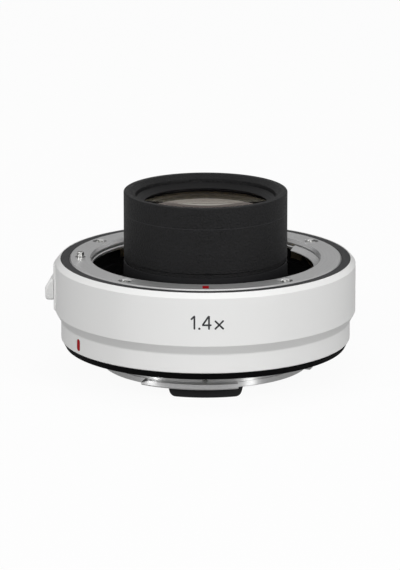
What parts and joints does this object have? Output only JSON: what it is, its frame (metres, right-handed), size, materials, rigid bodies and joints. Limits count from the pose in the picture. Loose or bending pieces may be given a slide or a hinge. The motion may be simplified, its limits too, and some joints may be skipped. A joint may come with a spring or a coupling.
{
  "type": "camera teleconverter",
  "caption": "Short white barrel with bayonet mounts on both ends, a lens barrel standing out of the lens side, a release lever with a lock pin, sprung contacts and a glass train.",
  "frame": {"origin": "on the optical axis, at the camera-side register face", "axes": "+Z along the optical axis towards the lens, -Y towards the side with the magnification figure, +X to the right of it"},
  "size_m": [0.0737, 0.0712, 0.0445],
  "materials": {
    "white_paint": "satin",
    "black_anodised": "matte",
    "black_plastic": "matte",
    "dark_trim": "satin",
    "chrome": "satin",
    "steel": "bright",
    "bronze": "satin",
    "gold": "bright",
    "red_enamel": "gloss",
    "board_green": "satin",
    "film_amber": "satin",
    "rubber": "matte",
    "glass": "coated"
  },
  "bodies": {
    "housing": {"outer_barrel": "white_paint", "main_frame": "black_anodised", "lens_barrel": "black_anodised", "nose_ring": "black_anodised", "front_spacer": "black_anodised", "rear_spacer": "black_anodised", "rear_retaining_ring": "black_anodised", "front_retaining_ring": "black_anodised", "throat_liner": "black_plastic", "rear_baffle": "black_plastic", "rear_contact_block": "black_plastic", "front_contact_block": "black_plastic", "circuit_chips": "black_plastic", "front_trim_ring": "dark_trim", "front_mount": "chrome", "rear_mount": "chrome", "front_mount_screws": "steel", "front_shim": "steel", "bayonet_spring_screws": "steel", "lens_barrel_screws": "steel", "rear_mount_screws": "steel", "rear_shim": "steel", "baffle_screws": "steel", "contact_block_screws": "steel", "front_block_screws": "steel", "board_screws": "steel", "lock_spring": "steel", "bayonet_springs": "bronze", "contact_comb": "bronze", "lock_pin_bush": "bronze", "rear_contacts": "gold", "front_index_mark": "red_enamel", "barrel_index_mark": "red_enamel", "circuit_board": "board_green", "flex_cable": "film_amber", "rear_seal": "rubber", "lens_1": "glass", "lens_2": "glass", "lens_3": "glass", "lens_4": "glass", "lens_5": "glass", "lens_6": "glass", "lens_7": "glass"},
    "release": {"release_lever": "white_paint", "lever_screws": "steel", "lock_slide": "steel", "lock_pin": "steel"},
    "pins": {"contact_pins": "gold"}
  },
  "joints": [
    {"name": "release_slide", "type": "slide", "parent": "housing", "child": "release", "axis": [0, 0, -1], "range_m": [0, 0.0016], "stiffness_N_per_m": 300, "springref_m": -0.002, "deforming": ["lock_spring"]},
    {"name": "contact_press", "type": "slide", "parent": "housing", "child": "pins", "axis": [0, 0, -1], "range_m": [0, 0.0008], "stiffness_N_per_m": 2000, "springref_m": -0.0005, "deforming": ["contact_comb"]}
  ]
}
